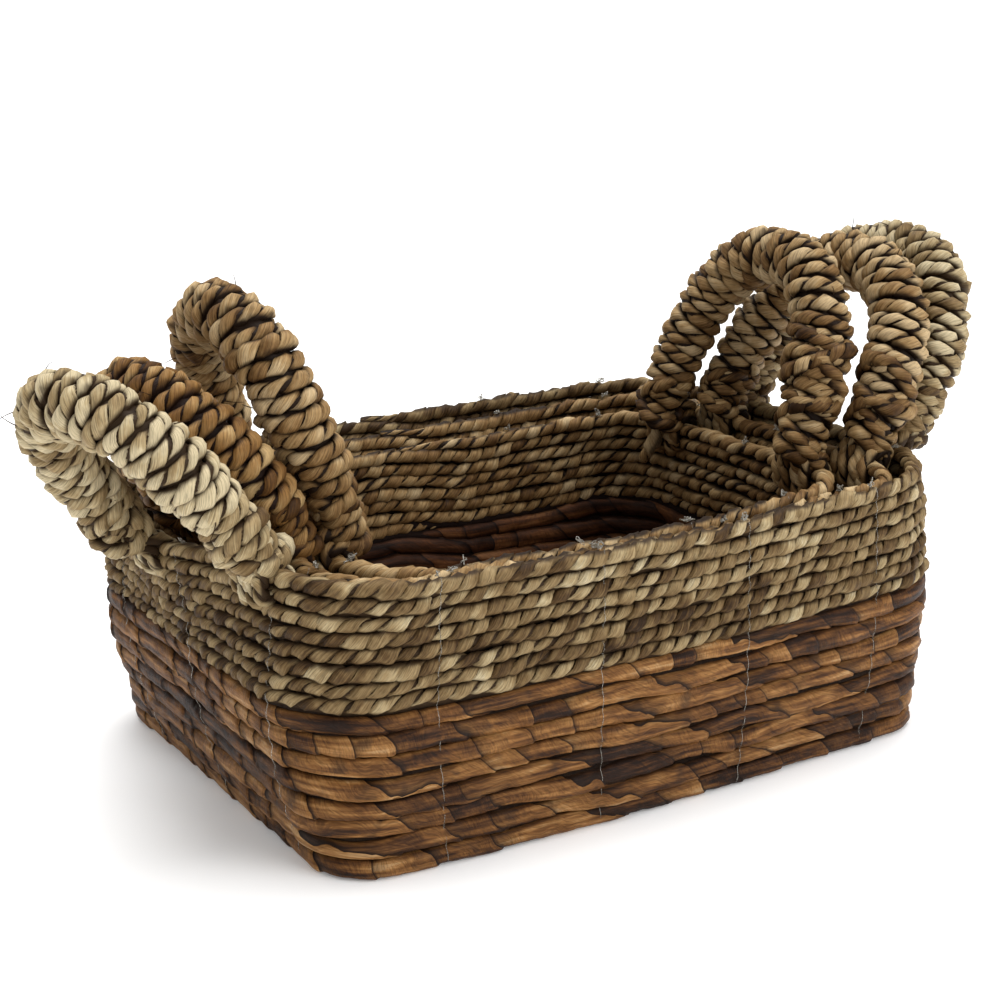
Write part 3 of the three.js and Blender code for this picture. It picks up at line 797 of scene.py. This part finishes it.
def stitch_lines(name, basket, material, rng):
    """Clear thread down the outside of the wall at every stitch place, and its knots on the rim. Near a
    handle's foot the thread ends under the bindings, clear of the handle as it swings."""
    tubes = Tubes()
    low, high = basket["floor"] + 2, rim_height(basket)
    belt = belt_height(basket)
    feet = [foot_place(name, side, foot) for side in (-1, 1) for foot in (-1, 1)]
    for k in range(STITCHES):
        share = (k + 0.5) / STITCHES
        line = []
        for z in np.arange(low, high + 0.5, 1.1):
            points, shares = outline(basket, shape_at(basket, z), 0)
            x, y, nx, ny = (np.interp(share, shares, c) for c in points.T)
            pitch = basket["banana"]["pitch"] if z < belt else SEAGRASS["pitch"]
            start = basket["floor"] if z < belt else belt
            hug = 1.3 * (1 - abs(math.sin(math.pi * (z - start) / pitch))) - 0.1
            line.append((x - nx * hug, y - ny * hug, z, nx, ny))
        line = np.array(line)
        points = settle(basket, line[:, :3])
        points[:, 0] += 0.5 * wander(lengths(points), 9, rng) * np.abs(line[:, 4])
        points[:, 1] += 0.5 * wander(lengths(points), 9, rng) * np.abs(line[:, 3])
        if min(np.linalg.norm(points[-1, :2] - foot) for foot in feet) < HIDDEN_STITCH["near"]:
            round_tube(tubes, points[points[:, 2] < high - HIDDEN_STITCH["below_rim"]], THREAD_RADIUS, 5)
            continue
        round_tube(tubes, points, THREAD_RADIUS, 5)
        inward = np.array([-line[-1, 3], -line[-1, 4], 0])
        top = points[-1] + inward * 3 + (0, 0, 0.6)
        for _ in range(rng.integers(2, 5)):
            t = np.linspace(0, 2 * math.pi, 26)[:, None]
            axes = unit(rng.normal(size=(2, 3)))
            reach = rng.uniform(1.0, 2.2)
            knot = top + reach * (np.cos(t) * axes[0] + np.sin(t + 0.4) * axes[1] * 0.8)
            knot = knot + 0.5 * np.sin(3 * t) * axes[1]
            knot[:, 2] = np.maximum(knot[:, 2], top[2] - 0.8)
            round_tube(tubes, knot, KNOT_RADIUS, 5)
    piece = tubes.build(name + "_stitching", material)
    threads = [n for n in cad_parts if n.startswith(name + "_thread_")]
    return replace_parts(piece, *threads)


# ---------------------------------------------------------------------------------- handles
class Arch:
    """A handle's centreline and frames, by distance from the front foot to the back one."""

    def __init__(self, side, spec):
        place, lean, twist, tilt, span, reach = spec
        self.side = side
        t = np.linspace(math.pi, 0, 241)
        power = 2 / ARCH_SQUARE
        flat = np.stack([0 * t, rounded(np.cos(t), power) * span / 2, rounded(np.sin(t), power) * reach], 1)
        self.flat = resample(flat, 1.0)
        self.length = lengths(self.flat)[-1]
        lean, twist, tilt = (math.radians(v) for v in (side * lean, twist, tilt))
        turn = Matrix.Rotation(tilt, 3, "X") @ Matrix.Rotation(twist, 3, "Z") @ Matrix.Rotation(lean, 3, "Y")
        self.turn = np.array(turn)
        self.place = np.array(place, float)
        self.heading = directions(self.flat)

    def at(self, distance, out, sideways):
        """Points a radius away from the centreline: out in the arch's plane, sideways across it."""
        clamped = np.clip(distance, 0, self.length)
        steps = np.linspace(0, self.length, len(self.flat))
        centre = np.stack([np.interp(clamped, steps, c) for c in self.flat.T], 1)
        heading = unit(np.stack([np.interp(clamped, steps, c) for c in self.heading.T], 1))
        centre = centre + heading * (distance - clamped)[:, None]
        across = np.cross(heading, [1.0, 0, 0])
        flat = centre + across * out[:, None] + np.array([1.0, 0, 0]) * sideways[:, None]
        return flat @ self.turn.T + self.place

    def radius(self, distance):
        steps = np.linspace(0, self.length, len(self.flat))
        height = np.interp(np.clip(distance, 0, self.length), steps, self.flat[:, 2])
        return LEG["foot"] + (LEG["top"] - LEG["foot"]) * smooth(height / LEG["taper"])


def press(points, centre, arch, neighbours):
    """Cord points held back where the next handle passes, as wound cords flatten against each other."""
    height = np.maximum(((centre - arch.place) @ arch.turn)[:, 2], 0)
    for line in neighbours:
        away = np.linalg.norm(centre[:, None] - line[None], axis=2)
        towards = unit(line[away.argmin(1)] - centre)
        room = (away.min(1) - PRESS["gap"] - PRESS["swing"] * height) / 2 - PRESS["cord"]
        over = np.maximum(0, dot(points - centre, towards)[:, 0] - room)
        points = points - towards * over[:, None]
    return points


def neighbour_lines(name, side):
    """The centrelines of the other handles on the same side, with the turns below their feet."""
    lines = []
    for other in BASKETS:
        if other != name:
            arch = Arch(side, HANDLES[other, side])
            distance = np.arange(-LEG["below"], arch.length + LEG["below"], 1.0)
            lines.append(arch.at(distance, 0 * distance, 0 * distance))
    return lines


def winding(tubes, arch, neighbours, start, end, pitch, slant, extra, rng, tone, phase=0.0):
    """A cord wound round the handle from one distance to another, its turns slanted."""
    turns = (end - start) / pitch
    around = np.linspace(0, 2 * math.pi * turns, int(turns * 90))
    distance = start + (end - start) * around / around[-1]
    distance = distance + 1.3 * wander(around, 7, rng)
    radius = arch.radius(distance) - CORD_HALF + extra + 0.9 * wander(around, 4, rng)
    skew = distance + slant * radius * np.cos(around + phase)
    skew = np.clip(skew, -LEG["below"], arch.length + LEG["below"])
    points = arch.at(skew, radius * np.cos(around), radius * np.sin(around))
    centre = arch.at(skew, 0 * radius, 0 * radius)
    points = press(points, centre, arch, neighbours)
    columns = resample(np.concatenate([points, points - centre, around[:, None]], 1), CORD["step"])
    size = 1.02 + 0.11 * wander(columns[:, 6], 5, rng)
    from_end = np.minimum(columns[:, 6], columns[-1, 6] - columns[:, 6])
    shade = tone - 0.22 * (1 - smooth(from_end / 38))
    outward = unit(columns[:, 3:6])
    twisted(tubes, columns[:, :3], outward, size, CORD, rng, shade, ruffle=1.25, buried_shade=True)


def handle_wrap(name, side, material, tone, pitch, rng):
    arch = Arch(side, HANDLES[name, side])
    near = neighbour_lines(name, side)
    tubes = Tubes()
    distance = np.arange(1.0, arch.length - 1, 2.5)
    inside = arch.at(distance, 0 * distance, 0 * distance)
    # A dark filling under the winding, painted shade between its turns.
    round_tube(tubes, inside, arch.radius(distance) - CORD_HALF - 0.6, 12, 0.3, 0.0)
    below = LEG["below"]
    winding(tubes, arch, near, -below, arch.length + below, pitch, WIND_SLANT, 0.0, rng, tone)
    for foot in (-1, 1):
        for k, (up, extra) in enumerate(BULGES.get((name, side, foot), PLAIN_BULGE)):
            middle = up if foot < 0 else arch.length - up
            slant = CROSSING["slants"][k % 3]
            start, end = middle - CROSSING["half"], middle + CROSSING["half"]
            phase = 0.6 + 2.4 * k
            darker = tone - CROSSING["darker"]
            winding(tubes, arch, near, start, end, CROSSING["pitch"], slant, extra, rng, darker, phase)
    node = f"{name}_{SIDE_NAMES[side]}_handle"
    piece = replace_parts(tubes.build(node + "_winding", material), node + "_wrap")
    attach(piece, node)
    return piece


def loose_fibres(name, side, rng):
    """A few stiff dark fibre ends that stick out of a handle's winding, away from the next handle."""
    arch = Arch(side, HANDLES[name, side])
    others = np.concatenate(neighbour_lines(name, side))
    tubes = Tubes()
    count = FIBRES["points"]
    for _ in range(FIBRES["count"]):
        distance = np.full(count, rng.uniform(FIBRES["margin"], arch.length - FIBRES["margin"]))
        angle = rng.uniform(0, 2 * math.pi)
        reach = arch.radius(distance) - 1.5 + np.linspace(0, rng.uniform(4, 8.5), count)
        bend = angle + np.linspace(0, rng.uniform(-0.5, 0.5), count)
        along = distance + np.linspace(0, rng.uniform(-5, 5), count)
        path = arch.at(along, reach * np.cos(bend), reach * np.sin(bend))
        if np.linalg.norm(others - path[-1], axis=1).min() > FIBRE_CLEAR:
            round_tube(tubes, path, np.linspace(0.3, 0.12, count), 5, tone=0.05)
    node = f"{name}_{SIDE_NAMES[side]}_handle"
    piece = tubes.build(node + "_fibres", MATERIALS["tan"])
    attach(piece, node)
    return piece


def lashing_loops(name, side, basket, material, tone, rng):
    """Cords that tie each foot down: loops over the rim, some plain and some crossing round the foot."""
    rim = rim_height(basket)
    tubes = Tubes()
    for foot in (-1, 1):
        foot_x, y = foot_place(name, side, foot) - basket["centre"]
        rim_point = settle(basket, [[side * shape_at(basket, rim)[0], y, rim]])[0]
        stand_out = max(0, side * (foot_x - rim_point[0]) + SEAGRASS["thick"] / 2)
        for skew, offset, top, drop in BINDINGS:
            t = np.linspace(0, 2 * math.pi, LOOP["points"], endpoint=False)
            middle = rim + (top - drop) / 2
            half = (top + drop) / 2
            z = middle + half * rounded(np.sin(t), LOOP["square"])
            wall = np.array([shape_at(basket, min(max(v, basket["floor"]), rim))[0] for v in z])
            reach = SEAGRASS["thick"] / 2 + LOOP["clear"]
            out = wall - SEAGRASS["thick"] / 2 + reach * rounded(np.cos(t), LOOP["square"])
            out = out + stand_out * smooth((z - rim + 6) / 12)
            path = np.stack([side * out, y + offset + skew * np.sin(t + 0.5), z], 1)
            path = settle(basket, path)
            closed = resample(np.concatenate([path, path[:1]]), CORD["step"])[:-1]
            centre = closed.mean(0)
            size = np.full(len(closed), LOOP["size"])
            outward = unit(closed - centre)
            twisted(tubes, closed, outward, size, CORD, rng, tone, closed=True, buried_shade=True)
    side_name = SIDE_NAMES[side]
    piece = tubes.build(f"{name}_{side_name}_foot_bindings", material)
    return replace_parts(piece, f"{name}_{side_name}_front_lashing", f"{name}_{side_name}_back_lashing")


def loose_end(basket_body, rng):
    """The end of the cord that ties down the small basket's right handle, hanging inside the wall."""
    path = resample(np.array(LOOSE_END, float), CORD["step"])
    size = np.interp(lengths(path), (0, 24, 34), (1.0, 0.95, 0.5))
    tubes = Tubes()
    twisted(tubes, path, np.tile([-1.0, 0, 0.2], (len(path), 1)), size, CORD, rng, 0.6)
    piece = tubes.build("small_right_loose_end", MATERIALS["tan"])
    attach(piece, basket_body)


# ---------------------------------------------------------------------------------- put together
def dress_basket(name, order):
    basket = BASKETS[name]
    body = name + "_basket"
    rng = np.random.default_rng(SEED + order)
    looks = WALL_LOOKS[name]
    grass = MATERIALS[looks["grass"]]
    barks = MATERIALS[looks["bark"]]
    grass_slot = looks["slot"]
    pieces = [
        (seagrass_wall(name, basket, grass, rng), grass_slot),
        (banana_wall(name, basket, barks, rng), "banana_bark"),
        (base_mat(name, basket, barks, rng), "banana_bark"),
        (stitch_lines(name, basket, MATERIALS["nylon"], rng), "nylon_thread"),
    ]
    for side in (-1, 1):
        look, tone, pitch = HANDLE_LOOKS[name, side]
        pieces.append((lashing_loops(name, side, basket, MATERIALS[look], tone - 0.12, rng), grass_slot))
        wrap = handle_wrap(name, side, MATERIALS[look], tone, pitch, rng)
        loose_fibres(name, side, rng)
    for piece, slot in pieces:
        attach(piece, body)
    if name == "small":
        loose_end(body, rng)


def dress_cores():
    for name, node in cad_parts.items():
        if name.endswith("_core"):
            node.data.materials.clear()
            node.data.materials.append(MATERIALS["cane"])


def camera_axes():
    yaw, pitch, roll = (math.radians(CAMERA[k]) for k in ("yaw", "pitch", "roll"))
    back = Vector((math.sin(yaw) * math.cos(pitch), -math.cos(yaw) * math.cos(pitch), math.sin(pitch)))
    right = Vector((math.cos(yaw), math.sin(yaw), 0))
    up = back.cross(right)
    rolled_right = right * math.cos(roll) + up * math.sin(roll)
    rolled_up = up * math.cos(roll) - right * math.sin(roll)
    return back, right, up, rolled_right, rolled_up


def add_camera():
    back, right, up, rolled_right, rolled_up = camera_axes()
    data = bpy.data.cameras.new("camera")
    data.lens = CAMERA["lens"]
    data.sensor_width = 36
    camera = bpy.data.objects.new("camera", data)
    place = CAMERA_AIM + back * CAMERA["distance"] + right * CAMERA_OFFSET[0] + up * CAMERA_OFFSET[1]
    turn = Matrix((rolled_right, rolled_up, back)).transposed()
    camera.matrix_world = Matrix.Translation(place) @ turn.to_4x4()
    bpy.context.scene.collection.objects.link(camera)
    bpy.context.scene.camera = camera


def add_sun(name, towards, strength, spread):
    data = bpy.data.lights.new(name, "SUN")
    data.energy = strength
    data.angle = math.radians(spread)
    light = bpy.data.objects.new(name, data)
    light.rotation_euler = (-Vector(towards)).to_track_quat("-Z", "Y").to_euler()
    bpy.context.scene.collection.objects.link(light)


def add_studio():
    mesh = bpy.data.meshes.new("floor")
    far = FLOOR_REACH
    corners = [(-far, -far, 0), (far, -far, 0), (far, far, 0), (-far, far, 0)]
    mesh.from_pydata(corners, [], [(0, 1, 2, 3)])
    floor = bpy.data.objects.new("floor", mesh)
    n = Nodes("white_floor")
    paper = n.noise_in_space(3.0, 2.0)
    colour = n.ramp(paper, ((0.0, (0.94, 0.94, 0.94)), (1.0, (0.96, 0.96, 0.96))))
    n.shader.inputs["Emission Color"].default_value = (1, 1, 1, 1)
    n.shader.inputs["Emission Strength"].default_value = FLOOR_GLOW
    mesh.materials.append(n.finish(colour, 0.9, paper, 0.01))
    bpy.context.scene.collection.objects.link(floor)
    world = bpy.data.worlds.new("studio")
    world.use_nodes = True
    world.node_tree.nodes["Background"].inputs[0].default_value = (1, 1, 1, 1)
    world.node_tree.nodes["Background"].inputs[1].default_value = WORLD_LIGHT
    bpy.context.scene.world = world
    for name, (towards, strength, spread) in SUNS.items():
        add_sun(name, towards, strength, spread)
    bpy.context.scene.view_settings.view_transform = "Standard"


add_camera()
add_studio()
for order, basket_name in enumerate(BASKETS):
    dress_basket(basket_name, order)
dress_cores()
